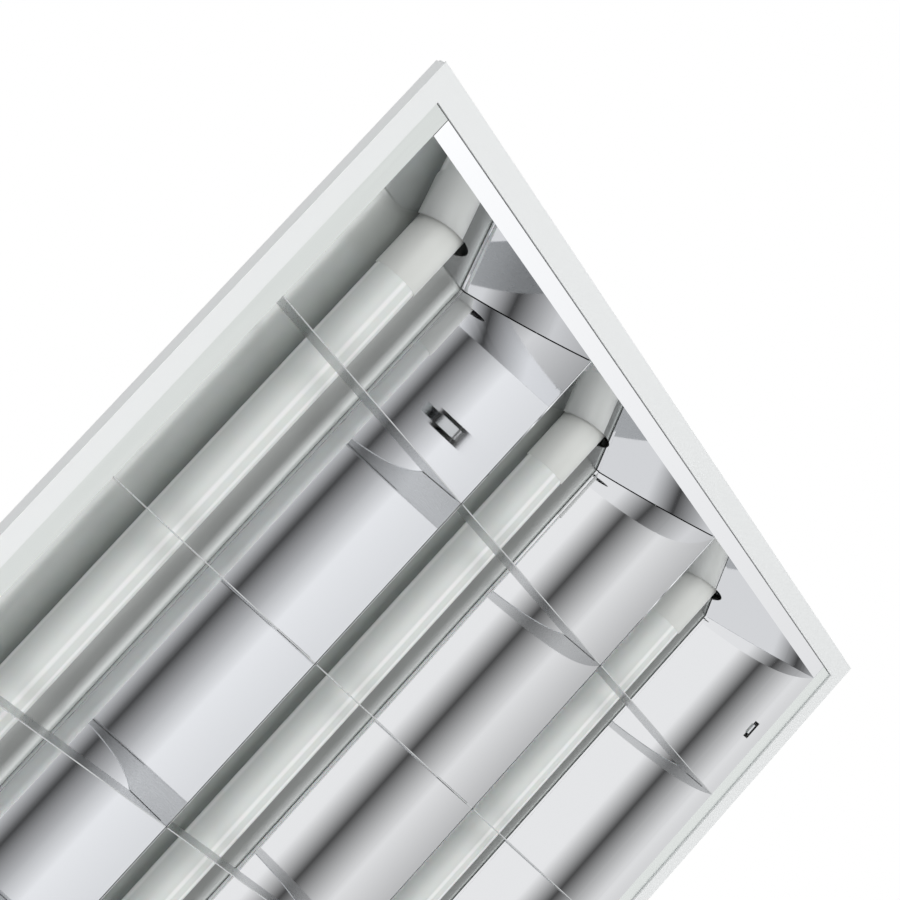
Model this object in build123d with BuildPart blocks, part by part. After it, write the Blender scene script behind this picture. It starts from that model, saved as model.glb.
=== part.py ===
from build123d import *

import os
from math import atan2, cos, hypot, sin

os.makedirs("parts", exist_ok=True)

# Module and housing tray, flange underside at z = 0, lamps along Y.
module = 603.0
lip_height = 6.3
tray_sheet = 0.7
flange_side = 12.6
flange_end = 14.4
riser_height = 18.0
tray_top = 92.0
roof_inset = 56.9
tray_half_x = module / 2 - flange_side
tray_half_y = module / 2 - flange_end
roof_half_x = tray_half_x - roof_inset
lip_notch = 1.4
bead_height = 1.6
bead_width = 16.0
bead_length = 430.0
bead_spacing = 150.0

# Louvre, a mirror frame hanging 1.2 mm inside the flange.
louvre_z = 1.2
louvre_sheet = 0.5
louvre_gap = 0.5
rim_width_side = 11.875
rim_width_end = 10.2
rim_outer_x = tray_half_x - louvre_gap
rim_outer_y = tray_half_y - louvre_gap
rim_inner_x = rim_outer_x - rim_width_side
rim_inner_y = rim_outer_y - rim_width_end
cell_pitch_x = 2 * rim_inner_x / 3
rim_lip = 5.0
flank_height = 72.5
flank_reach = 38.0
flank_sagitta = 2.4
hem_height = 3.0
blade_height = 26.6
blade_sheet = 0.6
end_cell = 104.14
blade_pitch = 2 * (rim_inner_y - end_cell) / 3
blade_tab = 4.0
blade_tab_low = 8.0
blade_tab_height = 12.0
blade_root = 6.0
ridge_hold = 4.5
slit_gap = 0.3
fit_gap = 0.4

# Sloping end plates with a U-slot round every lamp.
end_slope = 0.2055
end_height = 72.0
slot_radius = 17.3
slot_centre_height = 54.4
slot_run_out = 20.0

# Spring catches in the side profiles.
catch_from_end = 53.9
catch_y = rim_inner_y - catch_from_end
catch_slot_length = 17.0
catch_slot_low = 5.0
catch_slot_high = 11.0
catch_width = 12.0
catch_sheet = 0.8
catch_height = 7.4
catch_hook = 2.4
catch_length = 24.0
catch_tip_gap = 0.4
catch_outer_x = tray_half_x - catch_tip_gap
catch_inner_x = catch_outer_x - catch_length
guide_width = 6.0
guide_height = 9.6
guide_inset = 5.2
guide_wall = 2.5
guide_play = 0.2
guide_x = rim_outer_x - guide_inset

# Lampholders on the upper reflector, in front of the tray's end walls.
holder_gap = 0.3
holder_depth = 11.8
holder_back = tray_half_y - holder_gap
holder_front = holder_back - holder_depth
holder_half_width = 14.0
rotor_radius = 8.5
rotor_gap = 0.3
rotor_inset = 0.4
rotor_depth = 5.9
socket_depth = 7.6
rotor_front = holder_front + rotor_inset
rotor_back = rotor_front + rotor_depth
socket_back = holder_front + socket_depth
pin_slot = 3.0
foot_width = 10.0
foot_depth = 7.0
foot_height = 3.0

# LED lamps, 2 ft T8 with G13 caps, between the lampholders.
lamp_z = 58.4
lamp_radius = 13.0
lamp_wall = 0.8
lamp_end_gap = 0.5
tube_inset = 12.5
lamp_face = holder_front - lamp_end_gap
tube_half = lamp_face - tube_inset
cap_length = 42.0
cap_radius = 13.6
cap_wall = 0.5
pin_radius = 1.15
pin_spacing = 12.7
pin_length = 6.5
board_width = 21.0
board_sheet = 1.0
board_rise = 5.0
chip_count = 30

# Upper reflector and the wiring space over it.
reflector_z = 74.6
reflector_sheet = 0.8
reflector_gap = 0.8
spacer_radius = 5.0
spacer_y = 150.0
screw_radius = 2.0
screw_head_radius = 4.0
screw_head_height = 1.8
screw_reach = 8.0
block_x = 34.0
block_y = 20.0
block_height = 13.0
wire_radius = 1.1
wire_z = 84.0
wire_bend = 4.0
wire_lane = 30.0
grommet_x = -60.0
grommet_y = 70.0
grommet_bore = 5.0
grommet_neck = 8.0
grommet_collar = 11.0
grommet_collar_height = 2.3
earth_x = 60.0
stud_radius = 2.0
stud_length = 9.0
nut_radius = 3.9
nut_height = 3.2
hanger_radius = 3.5
hanger_inset = 32.0
hanger_spacing = 2 * (roof_half_x - hanger_inset)

lamp_xs = [-cell_pitch_x, 0.0, cell_pitch_x]
ridge_xs = [-cell_pitch_x / 2, cell_pitch_x / 2]
blade_ys = [-1.5 * blade_pitch, -0.5 * blade_pitch, 0.5 * blade_pitch, 1.5 * blade_pitch]
ends = {"front": -1, "rear": 1}
sides = {"left": -1, "right": 1}
tab_middle = blade_tab_low + blade_tab_height / 2
under_top = tray_top - tray_sheet
reflector_top = reflector_z + reflector_sheet
slope_scale = hypot(1.0, end_slope)


def save(piece, node):
    piece.label = node
    export_step(piece, f"parts/{node}.step")


def flank_point(share, offset=0.0):
    """A point of the mirror curve: 0 at the ridge, 1 at the hem, moved towards the hollow by offset."""
    lean = atan2(flank_reach, flank_height)
    bow = 4.0 * flank_sagitta * share * (1.0 - share) + offset
    reach = flank_reach * share - bow * cos(lean)
    height = flank_height * share + bow * sin(lean)
    return reach, louvre_z + height


def slope_inside(height):
    """The inner face of the tray's sloping side at a height, as a distance from the middle."""
    run = (tray_half_x + tray_sheet - roof_half_x) / (tray_top - riser_height)
    return tray_half_x + tray_sheet * (1 - hypot(1.0, run)) - run * (height - riser_height)


def flank_at(height):
    """How far the mirror curve has come in from its ridge at a height above the louvre plane."""
    share = height / flank_height
    for _ in range(20):
        error = flank_point(share)[1] - louvre_z - height
        share -= error / flank_height
    return flank_point(share)[0]


# ---- housing tray: flange frame, folded roof with sloping sides, end walls ----
with BuildPart() as flange_frame:
    with BuildSketch(Plane.XY):
        Rectangle(module, module)
        Rectangle(2 * tray_half_x, 2 * tray_half_y, mode=Mode.SUBTRACT)
    extrude(amount=tray_sheet)
    with BuildSketch(Plane.XY):
        Rectangle(module, module)
        Rectangle(module - 2 * tray_sheet, module - 2 * tray_sheet, mode=Mode.SUBTRACT)
    extrude(amount=lip_height)
    with BuildSketch(Plane.XY.offset(tray_sheet)):
        with GridLocations(module, module, 2, 2):
            Rectangle(2 * lip_notch, 2 * lip_notch)
    extrude(amount=lip_height, mode=Mode.SUBTRACT)
    with BuildSketch(Plane.XY):
        Rectangle(2 * (tray_half_x + tray_sheet), 2 * (tray_half_y + tray_sheet))
        Rectangle(2 * tray_half_x, 2 * tray_half_y, mode=Mode.SUBTRACT)
    extrude(amount=riser_height)
save(flange_frame.part, "flange_frame")

with BuildPart() as housing_tray:
    with BuildSketch(Plane.XZ.offset(tray_half_y)):
        with BuildLine():
            Polyline(
                (-tray_half_x - tray_sheet, riser_height),
                (-roof_half_x, tray_top),
                (roof_half_x, tray_top),
                (tray_half_x + tray_sheet, riser_height),
                close=True,
            )
        make_face()
        with BuildLine():
            Polyline(
                (-slope_inside(riser_height), riser_height),
                (-slope_inside(under_top), under_top),
                (slope_inside(under_top), under_top),
                (slope_inside(riser_height), riser_height),
                close=True,
            )
        make_face(mode=Mode.SUBTRACT)
    extrude(amount=-2 * tray_half_y)
    with BuildSketch(Plane.XY.offset(tray_top)):
        with Locations((-bead_spacing, 0), (bead_spacing, 0)):
            SlotOverall(bead_length, bead_width, rotation=90)
    extrude(amount=bead_height, taper=40)
    with BuildSketch(Plane.XY.offset(under_top)):
        with Locations((-bead_spacing, 0), (bead_spacing, 0)):
            SlotOverall(bead_length - 1.2, bead_width - 1.2, rotation=90)
    extrude(amount=bead_height, taper=40, mode=Mode.SUBTRACT)
    with Locations((0, 0, under_top)):
        with GridLocations(hanger_spacing, hanger_spacing, 2, 2):
            Cylinder(hanger_radius, tray_sheet, align=(Align.CENTER, Align.CENTER, Align.MIN), mode=Mode.SUBTRACT)
    with Locations((grommet_x, grommet_y, under_top)):
        Cylinder(grommet_neck, tray_sheet, align=(Align.CENTER, Align.CENTER, Align.MIN), mode=Mode.SUBTRACT)
    with Locations((earth_x, 0, under_top)):
        Cylinder(stud_radius, tray_sheet, align=(Align.CENTER, Align.CENTER, Align.MIN), mode=Mode.SUBTRACT)
save(housing_tray.part, "housing_tray")

for end_name, end in ends.items():
    with BuildPart() as tray_end:
        with BuildSketch(Plane.XZ.offset(-end * (tray_half_y + tray_sheet / 2))):
            with BuildLine():
                Polyline(
                    (-tray_half_x - tray_sheet, riser_height),
                    (-roof_half_x, tray_top),
                    (roof_half_x, tray_top),
                    (tray_half_x + tray_sheet, riser_height),
                    close=True,
                )
            make_face()
        extrude(amount=tray_sheet / 2, both=True)
    save(tray_end.part, f"tray_end_{end_name}")


# ---- upper reflector and its fixings ----
foot_y = (holder_front + holder_back) / 2
with BuildPart() as upper_reflector:
    with BuildSketch(Plane.XY.offset(reflector_z)):
        Rectangle(2 * (slope_inside(reflector_top) - reflector_gap), 2 * (tray_half_y - reflector_gap))
        for x in lamp_xs:
            with Locations((x, -foot_y), (x, foot_y)):
                Rectangle(foot_width + 0.4, foot_depth + 0.4, mode=Mode.SUBTRACT)
        for x in ridge_xs:
            with Locations((x, -spacer_y), (x, spacer_y)):
                Circle(screw_radius + 0.3, mode=Mode.SUBTRACT)
    extrude(amount=reflector_sheet)
save(upper_reflector.part, "upper_reflector")

with BuildPart() as reflector_spacers:
    with BuildSketch(Plane.XY.offset(reflector_top)):
        for x in ridge_xs:
            with Locations((x, -spacer_y), (x, spacer_y)):
                RegularPolygon(spacer_radius, 6)
                Circle(screw_radius + 0.05, mode=Mode.SUBTRACT)
    extrude(amount=under_top - reflector_top)
save(reflector_spacers.part, "reflector_spacers")

with BuildPart() as reflector_screws:
    with BuildSketch(Plane.XY.offset(reflector_z - screw_head_height)):
        for x in ridge_xs:
            with Locations((x, -spacer_y), (x, spacer_y)):
                Circle(screw_head_radius)
    extrude(amount=screw_head_height)
    with BuildSketch(Plane.XY.offset(reflector_z)):
        for x in ridge_xs:
            with Locations((x, -spacer_y), (x, spacer_y)):
                Circle(screw_radius)
    extrude(amount=reflector_sheet + screw_reach)
save(reflector_screws.part, "reflector_screws")


# ---- mains entry, terminals and earth ----
with BuildPart() as cable_grommet:
    with BuildSketch(Plane.XZ.offset(-grommet_y)):
        with BuildLine():
            Polyline(
                (grommet_x + grommet_bore, under_top - grommet_collar_height),
                (grommet_x + grommet_collar, under_top - grommet_collar_height),
                (grommet_x + grommet_collar, under_top),
                (grommet_x + grommet_neck, under_top),
                (grommet_x + grommet_neck, tray_top),
                (grommet_x + grommet_collar, tray_top),
                (grommet_x + grommet_collar - 1, tray_top + grommet_collar_height),
                (grommet_x + grommet_bore, tray_top + grommet_collar_height),
                close=True,
            )
        make_face()
    revolve(axis=Axis((grommet_x, grommet_y, 0), (0, 0, 1)))
save(cable_grommet.part, "cable_grommet")

pole_xs = [-block_x / 3, 0.0, block_x / 3]
with BuildPart() as terminal_block:
    with Locations((0, 0, under_top)):
        Box(block_x, block_y, block_height, align=(Align.CENTER, Align.CENTER, Align.MAX))
    with Locations(*[(x, 0, under_top - block_height) for x in pole_xs]):
        Cylinder(2.3, 6, align=(Align.CENTER, Align.CENTER, Align.MIN), mode=Mode.SUBTRACT)
    chamfer(terminal_block.edges().filter_by(Axis.Z).group_by(Axis.X)[0], 1.0)
    chamfer(terminal_block.edges().filter_by(Axis.Z).group_by(Axis.X)[-1], 1.0)
save(terminal_block.part, "terminal_block")

with BuildPart() as terminal_screws:
    with Locations(*[(x, 0, under_top - block_height + 2.5) for x in pole_xs]):
        Cylinder(2.0, 3.5, align=(Align.CENTER, Align.CENTER, Align.MIN))
    with Locations(*[(x, 0, under_top - block_height + 2.5) for x in pole_xs]):
        Box(0.6, 5, 0.8, align=(Align.CENTER, Align.CENTER, Align.MIN), mode=Mode.SUBTRACT)
save(terminal_screws.part, "terminal_screws")

with BuildPart() as earth_stud:
    with Locations((earth_x, 0, tray_top)):
        Cylinder(3.6, 1.5, align=(Align.CENTER, Align.CENTER, Align.MIN))
        Cylinder(stud_radius - 0.05, stud_length + tray_sheet, align=(Align.CENTER, Align.CENTER, Align.MAX))
save(earth_stud.part, "earth_stud")

with BuildPart() as earth_nut:
    with BuildSketch(Plane.XY.offset(under_top - nut_height)):
        with Locations((earth_x, 0)):
            RegularPolygon(nut_radius, 6)
            Circle(stud_radius, mode=Mode.SUBTRACT)
    extrude(amount=nut_height)
save(earth_nut.part, "earth_nut")

foot_top = reflector_z + foot_height
lead_ends = {"wire_live": -1, "wire_neutral": 1}
for node, end in lead_ends.items():
    with BuildPart() as lead_set:
        for n, x in enumerate(lamp_xs):
            lead_x = end * block_x / 3 + (n - 1) * 4.0
            turn_y = end * (block_y / 2 + wire_lane) if n != 1 else end * (foot_y - wire_lane)
            with BuildLine() as lead_path:
                FilletPolyline(
                    (lead_x, end * block_y / 2, wire_z),
                    (lead_x, turn_y, wire_z),
                    (x, turn_y, wire_z),
                    (x, end * foot_y, wire_z),
                    (x, end * foot_y, foot_top),
                    radius=wire_bend if n != 1 else wire_bend / 4,
                )
            with BuildSketch(Plane(lead_path.line @ 0, z_dir=lead_path.line % 0)):
                Circle(wire_radius)
            sweep(path=lead_path.line)
    save(lead_set.part, node)

with BuildPart() as wire_earth:
    with BuildLine() as earth_path:
        Line((block_x / 2, 0, wire_z), (earth_x - stud_radius - 1.2, 0, wire_z))
    with BuildSketch(Plane(earth_path.line @ 0, z_dir=earth_path.line % 0)):
        Circle(wire_radius)
    sweep()
    with BuildSketch(Plane.XY.offset(wire_z - 0.5)):
        with Locations((earth_x, 0)):
            Circle(3.8)
            Circle(stud_radius, mode=Mode.SUBTRACT)
    extrude(amount=1.0)
save(wire_earth.part, "wire_earth")


# ---- lampholders with their rotors ----
for end_name, end in ends.items():
    for n, x in enumerate(lamp_xs, 1):
        facing = Plane((x, end * holder_front, lamp_z), x_dir=(-end, 0, 0), z_dir=(0, end, 0))
        depth = holder_back - holder_front
        with BuildPart() as lampholder:
            with BuildSketch(facing):
                Circle(holder_half_width)
                with Locations((0, (reflector_z - lamp_z) / 2)):
                    Rectangle(2 * holder_half_width, reflector_z - lamp_z)
            extrude(amount=depth)
            with Locations((x, end * foot_y, reflector_z)):
                Box(foot_width, foot_depth, foot_height, align=(Align.CENTER, Align.CENTER, Align.MIN))
            with BuildSketch(facing):
                Circle(rotor_radius + rotor_gap)
            extrude(amount=socket_back - holder_front, mode=Mode.SUBTRACT)
            with BuildSketch(facing):
                with Locations((0, -holder_half_width / 2)):
                    Rectangle(pin_slot, holder_half_width)
            extrude(amount=socket_back - holder_front, mode=Mode.SUBTRACT)
        save(lampholder.part, f"lampholder_{n}_{end_name}")

        rotor_plane = Plane((x, end * rotor_front, lamp_z), x_dir=(-end, 0, 0), z_dir=(0, end, 0))
        with BuildPart() as rotor:
            with BuildSketch(rotor_plane):
                Circle(rotor_radius)
                Rectangle(2 * rotor_radius + 1, pin_slot, mode=Mode.SUBTRACT)
                Circle(rotor_radius / 3)
            extrude(amount=rotor_back - rotor_front)
            with BuildSketch(rotor_plane.offset(rotor_back - rotor_front - 0.8)):
                Circle(rotor_radius)
                with Locations((-pin_spacing / 2, 0), (pin_spacing / 2, 0)):
                    Circle(pin_radius + 0.2, mode=Mode.SUBTRACT)
            extrude(amount=0.8)
        save(rotor.part, f"lampholder_rotor_{n}_{end_name}")

with BuildPart() as lampholder_contacts:
    for end in ends.values():
        for x in lamp_xs:
            for side in (-1, 1):
                with Locations((x + side * pin_spacing / 2, end * (socket_back - 0.3), lamp_z)):
                    Box(2.4, 0.6, 7.0)
save(lampholder_contacts.part, "lampholder_contacts")


# ---- LED lamps ----
along_y = Plane.XZ.offset(tube_half)
for n, x in enumerate(lamp_xs, 1):
    with BuildPart() as lamp_tube:
        with BuildSketch(along_y):
            with Locations((x, lamp_z)):
                Circle(lamp_radius)
                Circle(lamp_radius - lamp_wall, mode=Mode.SUBTRACT)
        extrude(amount=-2 * tube_half)
    save(lamp_tube.part, f"lamp_tube_{n}")

    with BuildPart() as led_board:
        with Locations((x, 0, lamp_z + board_rise)):
            Box(board_width, 2 * tube_half, board_sheet, align=(Align.CENTER, Align.CENTER, Align.MIN))
        with Locations((x, 0, lamp_z + board_rise)):
            with GridLocations(1, 2 * (tube_half - cap_length) / (chip_count - 1), 1, chip_count):
                Box(3.0, 4.0, 0.8, align=(Align.CENTER, Align.CENTER, Align.MAX))
    save(led_board.part, f"led_board_{n}")

    for end_name, end in ends.items():
        face = Plane((x, end * lamp_face, lamp_z), x_dir=(end, 0, 0), z_dir=(0, -end, 0))
        with BuildPart() as lamp_cap:
            with BuildSketch(face):
                Circle(cap_radius)
            extrude(amount=cap_length)
            outer_rims = lamp_cap.edges().filter_by(GeomType.CIRCLE).group_by(Axis.Y)
            fillet(outer_rims[0] if end < 0 else outer_rims[-1], 2.2)
            with BuildSketch(face.offset(1.6)):
                Circle(cap_radius - cap_wall)
            extrude(amount=cap_length, mode=Mode.SUBTRACT)
            with BuildSketch(face):
                with Locations((-pin_spacing / 2, 0), (pin_spacing / 2, 0)):
                    Circle(pin_radius)
            extrude(amount=1.6, mode=Mode.SUBTRACT)
        save(lamp_cap.part, f"lamp_cap_{n}_{end_name}")

    with BuildPart() as lamp_pins:
        for end in ends.values():
            face = Plane((x, end * (lamp_face - 4.0), lamp_z), x_dir=(end, 0, 0), z_dir=(0, end, 0))
            with BuildSketch(face):
                with Locations((-pin_spacing / 2, 0), (pin_spacing / 2, 0)):
                    Circle(pin_radius)
            extrude(amount=4.0 + pin_length)
    save(lamp_pins.part, f"lamp_pins_{n}")


# ---- louvre: V-profiles ----
front_trim = Plane((0, -rim_inner_y + fit_gap, louvre_z), z_dir=(0, -1, end_slope))
rear_trim = Plane((0, rim_inner_y - fit_gap, louvre_z), z_dir=(0, 1, end_slope))
hem_share = 1.0 - hem_height / flank_height
for side_name, side in sides.items():
    ridge_x = side * cell_pitch_x / 2
    with BuildPart() as v_profile:
        with BuildSketch(Plane.XZ.offset(rim_inner_y)):
            with BuildLine():
                Polyline(
                    (ridge_x - flank_reach, louvre_z + flank_height),
                    (ridge_x + flank_reach, louvre_z + flank_height),
                )
                for way in (-1, 1):
                    middle = flank_point(0.5)
                    ThreePointArc(
                        (ridge_x, louvre_z),
                        (ridge_x + way * middle[0], middle[1]),
                        (ridge_x + way * flank_reach, louvre_z + flank_height),
                    )
            make_face()
        extrude(amount=-2 * rim_inner_y)
        with BuildSketch(Plane.XZ.offset(rim_inner_y)):
            with BuildLine():
                inner_tip = louvre_z + louvre_sheet / sin(atan2(flank_reach, flank_height) * 0.86)
                middle = flank_point(0.5, louvre_sheet)
                top = flank_point(1.02, louvre_sheet)
                Line((ridge_x - top[0], top[1]), (ridge_x + top[0], top[1]))
                for way in (-1, 1):
                    ThreePointArc(
                        (ridge_x, inner_tip),
                        (ridge_x + way * middle[0], middle[1]),
                        (ridge_x + way * top[0], top[1]),
                    )
            make_face()
        extrude(amount=-2 * rim_inner_y, mode=Mode.SUBTRACT)
        with BuildSketch(Plane.XZ.offset(rim_inner_y)):
            for way in (-1, 1):
                low = flank_point(hem_share, louvre_sheet / 2)
                high = flank_point(1.0, louvre_sheet / 2)
                low_out = flank_point(hem_share, -louvre_sheet)
                high_out = flank_point(1.0, -louvre_sheet)
                with BuildLine():
                    Polyline(
                        (ridge_x + way * low[0], low[1]),
                        (ridge_x + way * high[0], louvre_z + flank_height),
                        (ridge_x + way * high_out[0], louvre_z + flank_height),
                        (ridge_x + way * low_out[0], low_out[1]),
                        close=True,
                    )
                make_face()
        extrude(amount=-2 * rim_inner_y)
        for y in blade_ys:
            with Locations((ridge_x, y, louvre_z + ridge_hold)):
                Box(
                    2 * flank_reach,
                    blade_sheet + 2 * slit_gap,
                    blade_height + slit_gap - ridge_hold,
                    align=(Align.CENTER, Align.CENTER, Align.MIN),
                    mode=Mode.SUBTRACT,
                )
        split(bisect_by=front_trim, keep=Keep.BOTTOM)
        split(bisect_by=rear_trim, keep=Keep.BOTTOM)
    save(v_profile.part, f"v_profile_{side_name}")


# ---- louvre: side profiles with rim, lip, mirror flank and catch slots ----
for side_name, side in sides.items():
    inner_x = side * rim_inner_x
    with BuildPart() as side_profile:
        with BuildSketch(Plane.XZ.offset(rim_outer_y)):
            with BuildLine():
                top = flank_point(1.0)
                top_back = flank_point(1.0, louvre_sheet)
                middle = flank_point(0.5)
                middle_back = flank_point(0.5, louvre_sheet)
                back = (inner_x + side * louvre_sheet, louvre_z + louvre_sheet)
                ThreePointArc(
                    (inner_x, louvre_z),
                    (inner_x - side * middle[0], middle[1]),
                    (inner_x - side * top[0], top[1]),
                )
                Line((inner_x - side * top[0], top[1]), (inner_x - side * top_back[0], top[1]))
                ThreePointArc(
                    (inner_x - side * top_back[0], top[1]),
                    (inner_x - side * middle_back[0], middle_back[1]),
                    back,
                )
                Polyline(
                    back,
                    (side * (rim_outer_x - louvre_sheet), louvre_z + louvre_sheet),
                    (side * (rim_outer_x - louvre_sheet), louvre_z + rim_lip),
                    (side * rim_outer_x, louvre_z + rim_lip),
                    (side * rim_outer_x, louvre_z),
                    (inner_x, louvre_z),
                )
            make_face()
        extrude(amount=-2 * rim_outer_y)
        with BuildSketch(Plane.XZ.offset(rim_outer_y)):
            low = flank_point(hem_share, louvre_sheet / 2)
            high = flank_point(1.0, louvre_sheet / 2)
            low_out = flank_point(hem_share, -louvre_sheet)
            high_out = flank_point(1.0, -louvre_sheet)
            with BuildLine():
                Polyline(
                    (inner_x - side * low[0], low[1]),
                    (inner_x - side * high[0], louvre_z + flank_height),
                    (inner_x - side * high_out[0], louvre_z + flank_height),
                    (inner_x - side * low_out[0], low_out[1]),
                    close=True,
                )
            make_face()
        extrude(amount=-2 * rim_outer_y)
        for y in blade_ys:
            with Locations((side * (rim_inner_x - flank_at(tab_middle)), y, louvre_z + blade_tab_low - slit_gap)):
                Box(
                    10,
                    blade_sheet + 2 * slit_gap,
                    blade_tab_height + 2 * slit_gap,
                    align=(Align.CENTER, Align.CENTER, Align.MIN),
                    mode=Mode.SUBTRACT,
                )
        for y in (-catch_y, catch_y):
            with Locations((side * (rim_inner_x - 3), y, louvre_z + catch_slot_low)):
                Box(
                    8,
                    catch_slot_length,
                    catch_slot_high - catch_slot_low,
                    align=(Align.CENTER, Align.CENTER, Align.MIN),
                    mode=Mode.SUBTRACT,
                )
    save(side_profile.part, f"side_profile_{side_name}")


# ---- louvre: end plates with their rim strips ----
for end_name, end in ends.items():
    plate_plane = Plane(
        (0, end * rim_inner_y, louvre_z),
        x_dir=(-end, 0, 0),
        z_dir=(0, end, end_slope),
    )
    with BuildPart() as end_plate:
        with BuildSketch(plate_plane):
            half_low = rim_inner_x - fit_gap
            half_middle = rim_inner_x - flank_at(end_height / 2) - fit_gap
            half_high = rim_inner_x - flank_at(end_height) - fit_gap - louvre_sheet
            with BuildLine():
                Line((-half_low, 0), (half_low, 0))
                Spline((half_low, 0), (half_middle, slope_scale * end_height / 2),
                       (half_high, slope_scale * end_height))
                Line((half_high, slope_scale * end_height), (-half_high, slope_scale * end_height))
                Spline((-half_high, slope_scale * end_height), (-half_middle, slope_scale * end_height / 2),
                       (-half_low, 0))
            make_face()
            for x in lamp_xs:
                with Locations((x, slope_scale * slot_centre_height)):
                    Circle(slot_radius, mode=Mode.SUBTRACT)
                with Locations((x, slope_scale * (slot_centre_height + slot_run_out))):
                    Rectangle(2 * slot_radius, slope_scale * 2 * slot_run_out, mode=Mode.SUBTRACT)
        extrude(amount=louvre_sheet)
        with Locations((0, end * (rim_inner_y + rim_outer_y) / 2, louvre_z)):
            Box(
                2 * half_low,
                rim_outer_y - rim_inner_y,
                louvre_sheet,
                align=(Align.CENTER, Align.CENTER, Align.MIN),
            )
        with Locations((0, end * (rim_outer_y - louvre_sheet / 2), louvre_z)):
            Box(
                2 * (half_low - flank_at(rim_lip)),
                louvre_sheet,
                rim_lip,
                align=(Align.CENTER, Align.CENTER, Align.MIN),
            )
    save(end_plate.part, f"end_plate_{end_name}")


# ---- louvre: cross blades, slit through the V-profiles ----
blade_low = rim_inner_x - slit_gap
blade_high = rim_inner_x - flank_at(blade_height) - slit_gap
tab_low = rim_inner_x - flank_at(blade_tab_low) - 0.5
tab_out = rim_inner_x - flank_at(blade_tab_low + blade_tab_height) + blade_tab
notch_half = flank_at(ridge_hold + 0.7) + 0.6
for n, y in enumerate(blade_ys, 1):
    with BuildPart() as cross_blade:
        with BuildSketch(Plane.XZ.offset(-y - blade_sheet / 2)):
            with BuildLine():
                middle_x = rim_inner_x - flank_at(blade_height / 2) - slit_gap
                middle_z = louvre_z + blade_height / 2
                Line((-blade_low, louvre_z), (blade_low, louvre_z))
                Spline((blade_low, louvre_z), (middle_x, middle_z), (blade_high, louvre_z + blade_height))
                Line((blade_high, louvre_z + blade_height), (-blade_high, louvre_z + blade_height))
                Spline((-blade_high, louvre_z + blade_height), (-middle_x, middle_z), (-blade_low, louvre_z))
            make_face()
            for way in (-1, 1):
                with Locations((way * (tab_low + tab_out) / 2 - way * blade_root / 2, louvre_z + tab_middle)):
                    Rectangle(tab_out - tab_low + blade_root, blade_tab_height)
            for x in ridge_xs:
                with BuildLine():
                    Polyline(
                        (x - 0.5, louvre_z - 1),
                        (x + 0.5, louvre_z - 1),
                        (x + notch_half, louvre_z + ridge_hold + 0.7),
                        (x - notch_half, louvre_z + ridge_hold + 0.7),
                        close=True,
                    )
                make_face(mode=Mode.SUBTRACT)
        extrude(amount=blade_sheet)
    save(cross_blade.part, f"cross_blade_{n}")


# ---- spring catches and their guides ----
rim_top = louvre_z + louvre_sheet
tongue_z = louvre_z + catch_height
for side_name, side in sides.items():
    for end_name, end in ends.items():
        with BuildPart() as spring_catch:
            with Locations((side * (catch_inner_x + catch_outer_x) / 2, end * catch_y, tongue_z)):
                Box(
                    catch_outer_x - catch_inner_x,
                    catch_width,
                    catch_sheet,
                    align=(Align.CENTER, Align.CENTER, Align.MIN),
                )
            with Locations((side * (catch_inner_x + catch_sheet / 2), end * catch_y, tongue_z)):
                Box(
                    catch_sheet,
                    catch_width,
                    catch_sheet + catch_hook,
                    align=(Align.CENTER, Align.CENTER, Align.MIN),
                )
        save(spring_catch.part, f"spring_catch_{side_name}_{end_name}")

with BuildPart() as catch_guides:
    for side in sides.values():
        for end in ends.values():
            with Locations((side * guide_x, end * catch_y, rim_top)):
                Box(
                    guide_width,
                    catch_width + 2 * guide_wall,
                    guide_height,
                    align=(Align.CENTER, Align.CENTER, Align.MIN),
                )
            with Locations((side * guide_x, end * catch_y, tongue_z - guide_play)):
                Box(
                    guide_width,
                    catch_width + 3 * guide_play,
                    catch_sheet + 2 * guide_play,
                    align=(Align.CENTER, Align.CENTER, Align.MIN),
                    mode=Mode.SUBTRACT,
                )
save(catch_guides.part, "catch_guides")
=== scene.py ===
import math

import bmesh
import bpy
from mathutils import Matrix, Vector


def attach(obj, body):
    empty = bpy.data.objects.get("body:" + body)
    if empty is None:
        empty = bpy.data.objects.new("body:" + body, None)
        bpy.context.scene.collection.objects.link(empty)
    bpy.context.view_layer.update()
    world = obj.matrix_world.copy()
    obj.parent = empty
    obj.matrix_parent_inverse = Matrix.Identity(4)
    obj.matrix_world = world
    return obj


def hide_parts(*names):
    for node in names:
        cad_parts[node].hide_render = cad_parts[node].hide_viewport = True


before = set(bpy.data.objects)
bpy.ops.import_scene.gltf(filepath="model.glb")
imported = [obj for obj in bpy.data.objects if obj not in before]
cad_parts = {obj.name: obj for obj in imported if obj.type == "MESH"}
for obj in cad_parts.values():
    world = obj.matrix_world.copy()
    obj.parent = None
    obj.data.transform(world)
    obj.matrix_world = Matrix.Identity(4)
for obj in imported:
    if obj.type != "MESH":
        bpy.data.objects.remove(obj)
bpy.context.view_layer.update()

mm = 0.001
lampXs = [-0.18435, 0.0, 0.18435]
ridgeXs = [-0.092175, 0.092175]
bladeYs = [-0.17226, -0.05742, 0.05742, 0.17226]
tiny = 1e-7  # metres, for cuts and welds
near = 1e-6  # metres, for finding an edge by its place
creaseAngle = 0.45  # radians, above which a fold is drawn crisp


# Small tools
def hexColour(text):
    # sRGB hex to the linear colour that the shader wants
    parts = [int(text[i:i + 2], 16) / 255 for i in (1, 3, 5)]
    return [c / 12.92 if c <= 0.04045 else ((c + 0.055) / 1.055) ** 2.4 for c in parts] + [1.0]


def addNode(tree, kind, settings=None, links=None, **props):
    node = tree.nodes.new(kind)
    for name, value in props.items():
        setattr(node, name, value)
    for name, value in (settings or {}).items():
        node.inputs[name].default_value = value
    for name, source in (links or {}).items():
        tree.links.new(source, node.inputs[name])
    return node


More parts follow.
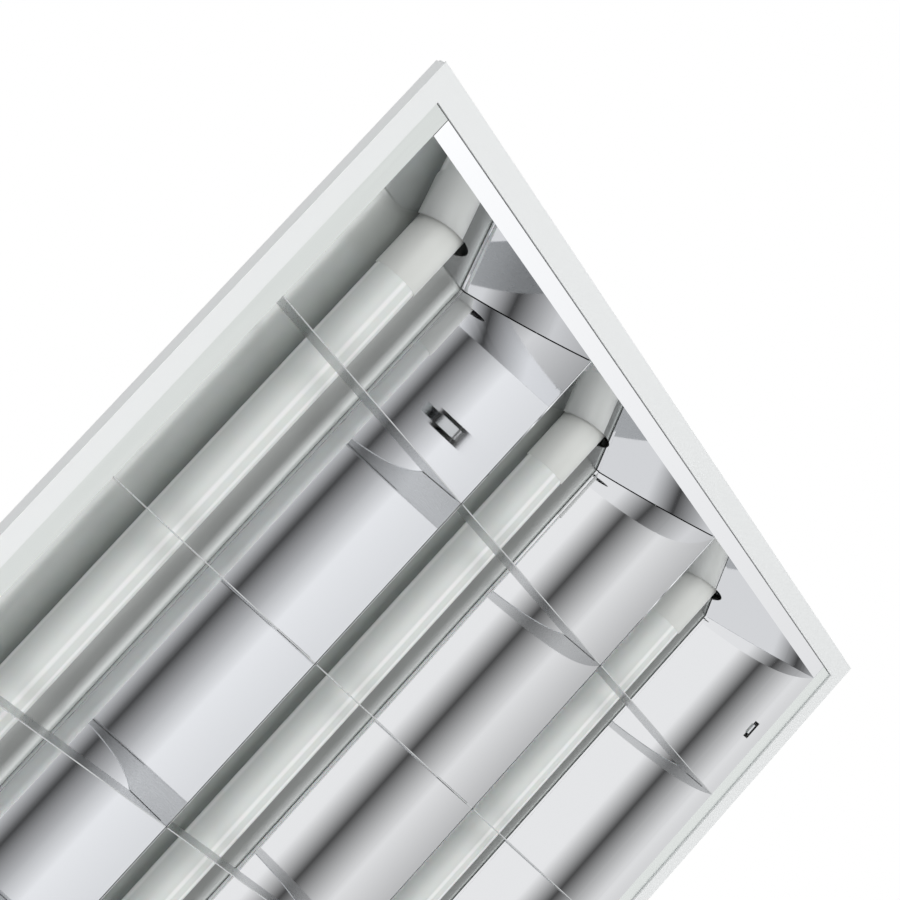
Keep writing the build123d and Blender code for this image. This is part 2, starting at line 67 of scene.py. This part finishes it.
def fillRamp(node, stops):
    ramp = node.color_ramp
    for spot, _ in stops[1:-1]:
        ramp.elements.new(spot)
    for element, (spot, colour) in zip(ramp.elements, stops):
        element.position = spot
        element.color = hexColour(colour)


def everything(mesh):
    return list(mesh.verts) + list(mesh.edges) + list(mesh.faces)


def newMaterial(name):
    material = bpy.data.materials.new(name)
    material.use_nodes = True
    material.node_tree.nodes.clear()
    return material, material.node_tree


def endMaterial(tree, shader):
    output = addNode(tree, "ShaderNodeOutputMaterial")
    tree.links.new(shader.outputs[0], output.inputs["Surface"])


def paintNode(name, material):
    for node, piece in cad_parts.items():
        if node.startswith(name):
            piece.data.materials.clear()
            piece.data.materials.append(material)


def makePiece(mesh, name, body, materials, smooth=True):
    data = bpy.data.meshes.new(name)
    mesh.normal_update()
    for edge in mesh.edges:
        # open rims and folds stay crisp, so that they don't bend the mirror's reflections
        if len(edge.link_faces) != 2 or edge.calc_face_angle() > creaseAngle:
            edge.smooth = False
    mesh.to_mesh(data)
    mesh.free()
    for material in materials:
        data.materials.append(material)
    for face in data.polygons:
        face.use_smooth = smooth
    piece = bpy.data.objects.new(name, data)
    bpy.context.scene.collection.objects.link(piece)
    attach(piece, body)
    return piece


# Camera
cameraFacts = {
    "place": (-0.86057, -0.05104, -0.72554),
    "turn": (0.102689, 0.846999, -0.348891, -0.387714),
    "lens": 80.03,
    "shift": (0.0, 0.1),  # the photograph is an off-centre crop
}
cameraData = bpy.data.cameras.new("photoCamera")
cameraData.lens = cameraFacts["lens"]
cameraData.sensor_width = 36.0
cameraData.shift_x, cameraData.shift_y = cameraFacts["shift"]
cameraData.clip_start = 0.02
cameraData.clip_end = 50.0
camera = bpy.data.objects.new("photoCamera", cameraData)
camera.location = cameraFacts["place"]
camera.rotation_mode = "QUATERNION"
camera.rotation_quaternion = cameraFacts["turn"]
bpy.context.scene.collection.objects.link(camera)
bpy.context.scene.camera = camera
print("camera ready")


# Materials
# Powder-coated sheet steel: a satin white skin whose faint orange peel makes its sheen uneven
def sprayedCoat(name, facts):
    material, tree = newMaterial(name)
    place = addNode(tree, "ShaderNodeTexCoord")
    peel = addNode(tree, "ShaderNodeTexNoise", {"Scale": 1000 / facts["peelMm"], "Detail": 2.0},
                   {"Vector": place.outputs["Object"]})
    sheen = addNode(tree, "ShaderNodeMapRange", {"To Min": facts["roughness"] - facts["uneven"],
                                                 "To Max": facts["roughness"] + facts["uneven"]},
                    {"Value": peel.outputs[0]})
    shader = addNode(tree, "ShaderNodeBsdfPrincipled", {"Base Color": hexColour(facts["colour"])},
                     {"Roughness": sheen.outputs[0]})
    endMaterial(tree, shader)
    return material


powderFacts = {"colour": "#ECEEEF", "roughness": 0.42, "peelMm": 4.0, "uneven": 0.06}
powderCoat = sprayedCoat("powderCoatedSteelSprayed", powderFacts)


rollingFacts = {"scale": 900.0, "stretch": 0.012, "depth": 0.002 * mm, "least": 0.8, "most": 1.25}


def rolledMirror(name, colour, roughness, streak, metallic=1.0):
    # Anodised aluminium, rolled bright: a cool mirror whose rolling lines run along the strip
    material, tree = newMaterial(name)
    place = addNode(tree, "ShaderNodeTexCoord")
    stretch = addNode(tree, "ShaderNodeMapping", {"Scale": (1.0, rollingFacts["stretch"], 1.0)},
                      {"Vector": place.outputs["Object"]})
    lines = addNode(tree, "ShaderNodeTexNoise", {"Scale": rollingFacts["scale"], "Detail": 3.0},
                    {"Vector": stretch.outputs[0]})
    rough = addNode(tree, "ShaderNodeMapRange", {"To Min": roughness * rollingFacts["least"],
                                                 "To Max": roughness * rollingFacts["most"]},
                    {"Value": lines.outputs[0]})
    bump = addNode(tree, "ShaderNodeBump", {"Strength": streak, "Distance": rollingFacts["depth"]},
                   {"Height": lines.outputs[0]})
    shader = addNode(tree, "ShaderNodeBsdfPrincipled",
                     {"Base Color": hexColour(colour), "Metallic": metallic},
                     {"Roughness": rough.outputs[0], "Normal": bump.outputs[0]})
    endMaterial(tree, shader)
    return material


mirrorFacts = {"colour": "#E5E6E8", "roughness": 0.022, "streak": 0.05}
rimFacts = {"colour": "#E4E8E6", "roughness": 0.3, "streak": 0.02}
roofFacts = {"colour": "#DFE2E0", "roughness": 0.2, "streak": 0.01, "metallic": 0.72}
bladeFacts = {"colour": "#C6C8C9", "roughness": 0.28, "streak": 0.05}
mirrorSheet = rolledMirror("brightAluminiumRolled", mirrorFacts["colour"], mirrorFacts["roughness"],
                           mirrorFacts["streak"])
rimSheet = rolledMirror("brightAluminiumRim", rimFacts["colour"], rimFacts["roughness"], rimFacts["streak"])
# a clear lacquer over the roof's sheet scatters part of the light
roofSheet = rolledMirror("satinAluminiumRolled", roofFacts["colour"], roofFacts["roughness"], roofFacts["streak"],
                         metallic=roofFacts["metallic"])
bladeSheet = rolledMirror("brightAluminiumBlade", bladeFacts["colour"], bladeFacts["roughness"],
                          bladeFacts["streak"])


mouldFacts = {"grainMm": 0.8, "strength": 0.2, "depth": 0.01 * mm}


def mouldedPlastic(name, colour, roughness):
    # Moulded plastic: even colour, soft gloss, a trace of mould texture
    material, tree = newMaterial(name)
    place = addNode(tree, "ShaderNodeTexCoord")
    grain = addNode(tree, "ShaderNodeTexNoise", {"Scale": 1000 / mouldFacts["grainMm"], "Detail": 2.0},
                    {"Vector": place.outputs["Object"]})
    bump = addNode(tree, "ShaderNodeBump", {"Strength": mouldFacts["strength"], "Distance": mouldFacts["depth"]},
                   {"Height": grain.outputs[0]})
    shader = addNode(tree, "ShaderNodeBsdfPrincipled",
                     {"Base Color": hexColour(colour), "Roughness": roughness},
                     {"Normal": bump.outputs[0]})
    endMaterial(tree, shader)
    return material


capPlastic = mouldedPlastic("polycarbonateMouldedWhite", "#E4E6E3", 0.28)
holderPlastic = mouldedPlastic("pbtMouldedWhite", "#DADAD4", 0.4)
nylonPlain = mouldedPlastic("nylonMouldedUndyed", "#E0DFD8", 0.45)
rubberBlack = mouldedPlastic("rubberMouldedBlack", "#141414", 0.7)
boardPlastic = mouldedPlastic("solderMaskWhite", "#ECEBE4", 0.4)
sheathBrown = mouldedPlastic("pvcSheathBrown", "#5A3A26", 0.4)
sheathBlue = mouldedPlastic("pvcSheathBlue", "#2A5B9C", 0.4)
sheathGreen = mouldedPlastic("pvcSheathGreen", "#5E9A3A", 0.4)


platingFacts = {"scale": 700.0, "least": 0.7, "most": 1.4}


def plainMetal(name, colour, roughness):
    # Plated metal, tumbled: a fine uneven shine
    material, tree = newMaterial(name)
    place = addNode(tree, "ShaderNodeTexCoord")
    grain = addNode(tree, "ShaderNodeTexNoise", {"Scale": platingFacts["scale"], "Detail": 3.0},
                    {"Vector": place.outputs["Object"]})
    rough = addNode(tree, "ShaderNodeMapRange", {"To Min": roughness * platingFacts["least"],
                                                 "To Max": roughness * platingFacts["most"]},
                    {"Value": grain.outputs[0]})
    shader = addNode(tree, "ShaderNodeBsdfPrincipled", {"Base Color": hexColour(colour), "Metallic": 1.0},
                     {"Roughness": rough.outputs[0]})
    endMaterial(tree, shader)
    return material


zincSteel = plainMetal("steelZincPlated", "#C9CBCD", 0.25)
brassPlain = plainMetal("brassTurned", "#C9A35A", 0.3)
springSteel = plainMetal("steelSpringPolished", "#E2E4E5", 0.16)

# Frosted tube: polycarbonate extruded with a diffusing wall, with white lines along its length that are painted
# highlights
tubeFacts = {
    "roughness": 0.2,
    "subsurface": 0.1,
    "depth": 2 * mm,
    # wall tones round the tube, 0.5 at the bottom: the white bands are painted highlights, set symmetric about the
    # bottom, with small tone steps between them
    "paintedHighlightTones": [(0.0, "#E4E7E5"), (0.13, "#E8EBE9"), (0.17, "#FFFFFF"), (0.2, "#FFFFFF"), (0.23, "#E6E9E7"),
              (0.4, "#E9ECEA"), (0.43, "#E6E9E7"), (0.445, "#FFFFFF"), (0.46, "#FFFFFF"), (0.475, "#E2E5E3"),
              (0.525, "#E2E5E3"), (0.54, "#FFFFFF"), (0.555, "#FFFFFF"), (0.57, "#E6E9E7"), (0.6, "#E9ECEA"),
              (0.77, "#E6E9E7"), (0.8, "#FFFFFF"), (0.83, "#FFFFFF"), (0.87, "#E8EBE9"), (1.0, "#E4E7E5")],
}
frostedTube, tree = newMaterial("polycarbonateFrostedPaintedHighlights")
around = addNode(tree, "ShaderNodeAttribute", attribute_name="around")
# this ramp paints white highlight lines onto the tube's wall, fixed round the tube's axis
ramp = addNode(tree, "ShaderNodeValToRGB", links={"Fac": around.outputs["Fac"]})
fillRamp(ramp, tubeFacts["paintedHighlightTones"])
shader = addNode(tree, "ShaderNodeBsdfPrincipled",
                 {"Roughness": tubeFacts["roughness"], "Subsurface Weight": tubeFacts["subsurface"],
                  "Subsurface Scale": tubeFacts["depth"]},
                 {"Base Color": ramp.outputs[0]})
endMaterial(tree, shader)
print("materials ready")

for sheetName in ("flange_frame", "housing_tray", "tray_end"):
    paintNode(sheetName, powderCoat)
paintNode("upper_reflector", roofSheet)
paintNode("end_plate", mirrorSheet)
paintNode("cross_blade", bladeSheet)
paintNode("lampholder_", holderPlastic)
paintNode("lampholder_contacts", brassPlain)
paintNode("lamp_pins", brassPlain)
paintNode("led_board", boardPlastic)
paintNode("terminal_block", holderPlastic)
paintNode("terminal_screws", brassPlain)
paintNode("wire_live", sheathBrown)
paintNode("wire_neutral", sheathBlue)
paintNode("wire_earth", sheathGreen)
paintNode("cable_grommet", rubberBlack)
paintNode("catch_guides", nylonPlain)
for zincName in ("earth_", "reflector_s"):
    paintNode(zincName, zincSteel)


# Mirror flanks
flankFacts = {
    "reach": 38.0 * mm,
    "height": 72.5 * mm,
    "sagitta": 2.4 * mm,
    "sheet": 0.5 * mm,
    "bottom": 1.2 * mm,
    "hem": 1.0 * mm,
    "hemOut": 0.6 * mm,
    "steps": 40,
    "hemLean": 0.117,  # radians, the hem's lean beyond the flank's chord
    "margin": 12.0 * mm,  # a plain band on each side of a cut keeps the curve even
}


def flankCentre(facts):
    # centre and angle of the circle through ridge and hem, for a ridge at x = 0 and a hem at x = reach
    chord = Vector((facts["reach"], 0, facts["height"]))
    radius = (chord.length ** 2 / 4 + facts["sagitta"] ** 2) / (2 * facts["sagitta"])
    across = Vector((chord.z, 0, -chord.x)).normalized()
    centre = chord / 2 + across * (radius - facts["sagitta"])
    angle = 2 * math.asin(chord.length / 2 / radius)
    return centre, angle


def flankMesh(ridgeX, way, length, cuts):
    # one mirror flank that rises from its ridge at ridgeX towards way (-1 or 1), along Y
    facts = flankFacts
    mesh = bmesh.new()
    centre, angle = flankCentre(facts)
    start = mesh.verts.new((0, -length / 2, 0))
    bmesh.ops.spin(mesh, geom=[start], cent=centre, axis=(0, -1, 0), dvec=(0, 0, 0), angle=-angle,
                   steps=facts["steps"])
    made = bmesh.ops.extrude_edge_only(mesh, edges=list(mesh.edges))
    moved = [v for v in made["geom"] if isinstance(v, bmesh.types.BMVert)]
    bmesh.ops.translate(mesh, vec=(0, length, 0), verts=moved)
    for spot in sorted({y for cut in cuts for y in (cut[0] - facts["margin"], cut[1] + facts["margin"])}):
        bmesh.ops.bisect_plane(mesh, geom=everything(mesh), plane_co=(0, spot, 0), plane_no=(0, 1, 0), dist=tiny)
    for low, high, floor, ceiling in cuts:
        for spot, normal in (((0, low, 0), (0, 1, 0)), ((0, high, 0), (0, 1, 0)),
                             ((0, 0, floor), (0, 0, 1)), ((0, 0, ceiling), (0, 0, 1))):
            bmesh.ops.bisect_plane(mesh, geom=everything(mesh), plane_co=spot, plane_no=normal, dist=tiny)
    doomed = []
    for face in mesh.faces:
        middle = face.calc_center_median()
        for low, high, floor, ceiling in cuts:
            if low < middle.y < high and floor < middle.z < ceiling:
                doomed.append(face)
                break
    bmesh.ops.delete(mesh, geom=doomed, context="FACES")
    # the hem: a narrow fold back over the mirror side
    topZ = max(v.co.z for v in mesh.verts)
    rim = [e for e in mesh.edges if all(v.co.z > topZ - near for v in e.verts) and len(e.link_faces) == 1]
    lean = math.atan2(facts["reach"], facts["height"]) + facts["hemLean"]
    along = Vector((math.sin(lean), 0, math.cos(lean)))
    outward = Vector((math.cos(lean), 0, -math.sin(lean)))
    for step in (outward * facts["hemOut"], -along * facts["hem"]):
        made = bmesh.ops.extrude_edge_only(mesh, edges=rim)
        moved = [v for v in made["geom"] if isinstance(v, bmesh.types.BMVert)]
        rim = [e for e in made["geom"] if isinstance(e, bmesh.types.BMEdge)]
        bmesh.ops.translate(mesh, vec=step, verts=moved)
        rim = [e for e in rim if all(v in moved for v in e.verts)]
    if way < 0:
        bmesh.ops.scale(mesh, vec=(-1, 1, 1), verts=mesh.verts)
    bmesh.ops.translate(mesh, vec=(ridgeX, 0, facts["bottom"]), verts=mesh.verts)
    return mesh


def faceTowards(mesh, direction):
    # turns every face so that the mirror side looks along direction on the whole
    bmesh.ops.recalc_face_normals(mesh, faces=mesh.faces)
    total = sum((f.normal * f.calc_area() for f in mesh.faces), Vector())
    if total.dot(Vector(direction)) < 0:
        bmesh.ops.reverse_faces(mesh, faces=mesh.faces)


slitFacts = {"half": 0.6 * mm, "low": 4.5 * mm, "high": 26.9 * mm, "tabLow": 7.7 * mm, "tabHigh": 20.3 * mm}
catchFacts = {"y": 222.5 * mm, "half": 6.5 * mm, "low": 6.6 * mm, "high": 9.6 * mm}
profileFacts = {"vHalf": 276.0 * mm, "sideHalf": 286.6 * mm, "rimInner": 276.525 * mm, "rimOuter": 288.4 * mm,
                "lip": 5.0 * mm, "spare": 4.0 * mm, "endSlope": 0.2055}


def trimEnds(mesh):
    # the V-profiles end in the planes of the sloping end plates
    for side in (-1, 1):
        bmesh.ops.bisect_plane(mesh, geom=everything(mesh),
                               plane_co=(0, side * profileFacts["vHalf"], flankFacts["bottom"]),
                               plane_no=Vector((0, side, profileFacts["endSlope"])).normalized(),
                               clear_outer=True, dist=tiny)


def sheetModifier(piece, thickness):
    solid = piece.modifiers.new("sheet", "SOLIDIFY")
    solid.thickness = thickness
    solid.offset = -1.0  # the sheet grows behind its mirror side
    solid.use_even_offset = True
    solid.use_rim = True


for name, ridgeX in zip(("left", "right"), ridgeXs):
    slits = [(y - slitFacts["half"], y + slitFacts["half"], slitFacts["low"], slitFacts["high"]) for y in bladeYs]
    whole = bmesh.new()
    for way in (-1, 1):
        part = flankMesh(ridgeX, way, 2 * profileFacts["vHalf"] + profileFacts["spare"], slits)
        faceTowards(part, (way, 0, -0.4))
        trimEnds(part)
        carrier = bpy.data.meshes.new("carrier")
        part.to_mesh(carrier)
        part.free()
        whole.from_mesh(carrier)
        bpy.data.meshes.remove(carrier)
    profile = makePiece(whole, f"vProfile_{name}", "louvre", [mirrorSheet])
    sheetModifier(profile, flankFacts["sheet"])
    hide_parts(f"v_profile_{name}")

for name, side in (("left", -1), ("right", 1)):
    cuts = [(y - slitFacts["half"], y + slitFacts["half"], slitFacts["tabLow"], slitFacts["tabHigh"])
            for y in bladeYs]
    cuts += [(y - catchFacts["half"], y + catchFacts["half"], catchFacts["low"], catchFacts["high"])
             for y in (-catchFacts["y"], catchFacts["y"])]
    part = flankMesh(side * profileFacts["rimInner"], -side, 2 * profileFacts["sideHalf"], cuts)
    faceTowards(part, (-side, 0, -0.4))
    flank = makePiece(part, f"sideFlank_{name}", "louvre", [mirrorSheet])
    sheetModifier(flank, flankFacts["sheet"])
    rim = bmesh.new()
    bmesh.ops.create_grid(rim, x_segments=1, y_segments=1, size=0.5)
    width = profileFacts["rimOuter"] - profileFacts["rimInner"]
    bmesh.ops.scale(rim, vec=(width, 2 * profileFacts["sideHalf"], 1), verts=rim.verts)
    bmesh.ops.translate(rim, vec=(side * (profileFacts["rimInner"] + width / 2), 0, flankFacts["bottom"]),
                        verts=rim.verts)
    outer = [e for e in rim.edges if all(abs(abs(v.co.x) - profileFacts["rimOuter"]) < near for v in e.verts)]
    made = bmesh.ops.extrude_edge_only(rim, edges=outer)
    moved = [v for v in made["geom"] if isinstance(v, bmesh.types.BMVert)]
    bmesh.ops.translate(rim, vec=(0, 0, profileFacts["lip"]), verts=moved)
    faceTowards(rim, (side * 0.3, 0, -1))
    strip = makePiece(rim, f"sideRim_{name}", "louvre", [rimSheet], smooth=False)
    sheetModifier(strip, flankFacts["sheet"])
    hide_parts(f"side_profile_{name}")
    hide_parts(f"side_profile_{name}")
print("mirror profiles ready")


# Spring catches
springFacts = {"outer": 288.5 * mm, "shoulder": 279.0 * mm, "neck": 276.5 * mm, "inner": 270.8 * mm, "half": 6.0 * mm,
               "tipHalf": 3.6 * mm, "low": 8.6 * mm, "sheet": 0.8 * mm, "lip": 1.2 * mm, "bevel": 0.12 * mm,
               "crease": 0.5}
for sideName, side in (("left", -1), ("right", 1)):
    for endName, end in (("front", -1), ("rear", 1)):
        facts = springFacts
        y = end * catchFacts["y"]
        outline = [(facts["outer"], facts["half"]), (facts["shoulder"], facts["half"]),
                   (facts["neck"], facts["tipHalf"]), (facts["inner"] + facts["sheet"], facts["tipHalf"]),
                   (facts["inner"], facts["tipHalf"])]
        mesh = bmesh.new()
        rows = [[mesh.verts.new((side * x, y + turn * half, facts["low"])) for x, half in outline]
                for turn in (-1, 1)]
        for spot in range(len(outline) - 1):
            mesh.faces.new((rows[0][spot], rows[0][spot + 1], rows[1][spot + 1], rows[1][spot]))
        made = bmesh.ops.extrude_face_region(mesh, geom=list(mesh.faces))
        bmesh.ops.translate(mesh, vec=(0, 0, facts["sheet"]),
                            verts=[v for v in made["geom"] if isinstance(v, bmesh.types.BMVert)])
        # the inner end is folded up to a lip that a fingertip finds
        tip = [f for f in made["geom"] if isinstance(f, bmesh.types.BMFace)
               and abs(f.calc_center_median().x) < facts["inner"] + facts["sheet"]]
        made = bmesh.ops.extrude_face_region(mesh, geom=tip)
        bmesh.ops.translate(mesh, vec=(0, 0, facts["lip"]),
                            verts=[v for v in made["geom"] if isinstance(v, bmesh.types.BMVert)])
        bmesh.ops.delete(mesh, geom=tip, context="FACES_ONLY")
        bmesh.ops.recalc_face_normals(mesh, faces=mesh.faces)
        sharp = [e for e in mesh.edges if len(e.link_faces) == 2 and e.calc_face_angle() > facts["crease"]]
        bmesh.ops.bevel(mesh, geom=sharp, offset=facts["bevel"], affect="EDGES", segments=2, profile=0.5, material=-1)
        spring = makePiece(mesh, f"springSheet_{sideName}_{endName}", f"catch_{sideName}_{endName}",
                           [springSteel], smooth=False)
        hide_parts(f"spring_catch_{sideName}_{endName}")
print("catches ready")


# Lamps
lampFacts = {"z": 58.4 * mm, "radius": 13.0 * mm, "wall": 0.8 * mm, "half": 262.0 * mm, "segments": 96,
             "capRadius": 13.6 * mm, "capStart": 232.5 * mm, "capFace": 274.5 * mm, "capRound": 2.4 * mm,
             "capSkirt": 0.25 * mm, "capGap": 0.05 * mm, "capEdge": 0.3 * mm, "capSteps": 8,
             "tubeCrease": 40, "capCrease": 50}


def spunPiece(points, x, z, name, body, material, segments):
    # a turned shape: the profile holds (distance along Y, radius) pairs, spun round the lamp's axis
    mesh = bmesh.new()
    verts = [mesh.verts.new((x, y, z - radius)) for y, radius in points]
    edges = [mesh.edges.new(pair) for pair in zip(verts, verts[1:])]
    bmesh.ops.spin(mesh, geom=verts + edges, cent=(x, 0, z), axis=(0, 1, 0), dvec=(0, 0, 0),
                   angle=2 * math.pi, steps=segments, use_merge=True)
    bmesh.ops.remove_doubles(mesh, verts=mesh.verts, dist=tiny)
    bmesh.ops.recalc_face_normals(mesh, faces=mesh.faces)
    layer = mesh.verts.layers.float.new("around")
    for vert in mesh.verts:
        turn = math.atan2(vert.co.x - x, -(vert.co.z - z))
        vert[layer] = (turn / math.pi + 1) / 2
    return makePiece(mesh, name, body, [material])


for n, x in enumerate(lampXs, 1):
    body = f"lamp_{n}"
    inner = lampFacts["radius"] - lampFacts["wall"]
    half = lampFacts["half"]
    tube = spunPiece([(-half, inner), (-half, lampFacts["radius"]), (half, lampFacts["radius"]), (half, inner),
                      (-half, inner)], x, lampFacts["z"], f"lampTube_{n}", body, frostedTube,
                     lampFacts["segments"])
    tube.data.set_sharp_from_angle(angle=math.radians(lampFacts["tubeCrease"]))
    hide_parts(f"lamp_tube_{n}")
    for endName, end in (("front", -1), ("rear", 1)):
        start, face, big = lampFacts["capStart"], lampFacts["capFace"], lampFacts["capRadius"]
        roundness = lampFacts["capRound"]
        edge = lampFacts["capEdge"]
        profile = [(end * (start + lampFacts["capSkirt"]), lampFacts["radius"] + lampFacts["capGap"]),
                   (end * start, big - edge), (end * (start + edge), big), (end * (face - roundness), big)]
        for step in range(1, lampFacts["capSteps"] + 1):
            turn = step / lampFacts["capSteps"] * math.pi / 2
            profile.append((end * (face - roundness + roundness * math.sin(turn)),
                            big - roundness + roundness * math.cos(turn)))
        profile.append((end * face, 0.0))
        cap = spunPiece(profile, x, lampFacts["z"], f"lampCap_{n}_{endName}", body, capPlastic,
                        lampFacts["segments"])
        cap.data.set_sharp_from_angle(angle=math.radians(lampFacts["capCrease"]))
        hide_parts(f"lamp_cap_{n}_{endName}")
print("lamps ready")


# Studio
# Plain soft boxes lie along Y with darker room between them, so the mirrors have something to show.
# A box's place is its angle about Y: 0 is level to the left, 90 straight down, 180 level to the right.
studioFacts = {
    "floorZ": -2.4,
    "floorHalf": 8.0,
    "floorRoughness": 0.9,
    "floor": "#F2F2F0",
    "floorLift": 0.42,  # seen by the camera only, so that the floor is pale and lights nothing
    "strength": 1.45,
    "boxes": [(0, "#909090"), (12, "#D0D0D0"), (19, "#404040"), (24, "#D8D8D8"), (50, "#D8D8D8"), (80, "#F0F0F0"),
              (90, "#404040"), (104, "#404040"), (112, "#F0F0F0"), (118, "#404040"), (128, "#F0F0F0"),
              (150, "#D0D0D0")],
}
floorMesh = bmesh.new()
bmesh.ops.create_grid(floorMesh, x_segments=1, y_segments=1, size=studioFacts["floorHalf"])
bmesh.ops.translate(floorMesh, vec=(0, 0, studioFacts["floorZ"]), verts=floorMesh.verts)
floorData = bpy.data.meshes.new("studioFloor")
floorMesh.to_mesh(floorData)
floorMesh.free()
floorMaterial, tree = newMaterial("paperFloorPale")
eye = addNode(tree, "ShaderNodeLightPath")
lift = addNode(tree, "ShaderNodeMath", {1: studioFacts["floorLift"]}, {0: eye.outputs["Is Camera Ray"]},
               operation="MULTIPLY")
shader = addNode(tree, "ShaderNodeBsdfPrincipled",
                 {"Base Color": hexColour(studioFacts["floor"]), "Roughness": studioFacts["floorRoughness"],
                  "Emission Color": hexColour("#FFFFFF")},
                 {"Emission Strength": lift.outputs[0]})
endMaterial(tree, shader)
floorData.materials.append(floorMaterial)
floor = bpy.data.objects.new("studioFloor", floorData)
bpy.context.scene.collection.objects.link(floor)
floor.visible_glossy = False

world = bpy.data.worlds.new("studioWorld")
bpy.context.scene.world = world
world.use_nodes = True
tree = world.node_tree
tree.nodes.clear()
place = addNode(tree, "ShaderNodeTexCoord")
flip = addNode(tree, "ShaderNodeMapping", {"Scale": (-1.0, 1.0, -1.0)}, {"Vector": place.outputs["Generated"]})
axes = addNode(tree, "ShaderNodeSeparateXYZ", links={"Vector": flip.outputs[0]})
angle = addNode(tree, "ShaderNodeMath", operation="ARCTAN2")
tree.links.new(axes.outputs["Z"], angle.inputs[0])
tree.links.new(axes.outputs["X"], angle.inputs[1])
turn = addNode(tree, "ShaderNodeMapRange", {"From Max": math.pi}, {"Value": angle.outputs[0]})
ramp = addNode(tree, "ShaderNodeValToRGB", links={"Fac": turn.outputs[0]})
fillRamp(ramp, [(degrees / 180, colour) for degrees, colour in studioFacts["boxes"]])
path = addNode(tree, "ShaderNodeLightPath")
boxes = addNode(tree, "ShaderNodeBackground", {"Strength": studioFacts["strength"]}, {"Color": ramp.outputs[0]})
white = addNode(tree, "ShaderNodeBackground", {"Color": (1, 1, 1, 1), "Strength": 1.0})
seen = addNode(tree, "ShaderNodeMath", operation="MAXIMUM")
tree.links.new(path.outputs["Is Camera Ray"], seen.inputs[0])
tree.links.new(path.outputs["Is Transmission Ray"], seen.inputs[1])
mix = addNode(tree, "ShaderNodeMixShader")
tree.links.new(seen.outputs[0], mix.inputs[0])
tree.links.new(boxes.outputs[0], mix.inputs[1])
tree.links.new(white.outputs[0], mix.inputs[2])
output = addNode(tree, "ShaderNodeOutputWorld")
tree.links.new(mix.outputs[0], output.inputs["Surface"])


def softLight(name, place, aim, size, watts):
    data = bpy.data.lights.new(name, "AREA")
    data.shape = "RECTANGLE"
    data.size, data.size_y = size
    data.energy = watts
    lamp = bpy.data.objects.new(name, data)
    lamp.location = place
    lamp.rotation_mode = "QUATERNION"
    lamp.rotation_quaternion = (Vector(aim) - Vector(place)).to_track_quat("-Z", "Y")
    lamp.visible_glossy = False
    bpy.context.scene.collection.objects.link(lamp)


softLight("keyBelow", (0.1, 0.0, -2.0), (0, 0, 0), (2.2, 2.6), 22)
softLight("leftSoft", (-2.0, -0.2, -1.0), (0, 0, 0), (1.4, 2.4), 16)
softLight("topSoft", (0.4, 0.6, 2.2), (0, 0, 0), (2.4, 2.4), 20)
print("studio ready")

bpy.context.scene.view_settings.view_transform = "Standard"
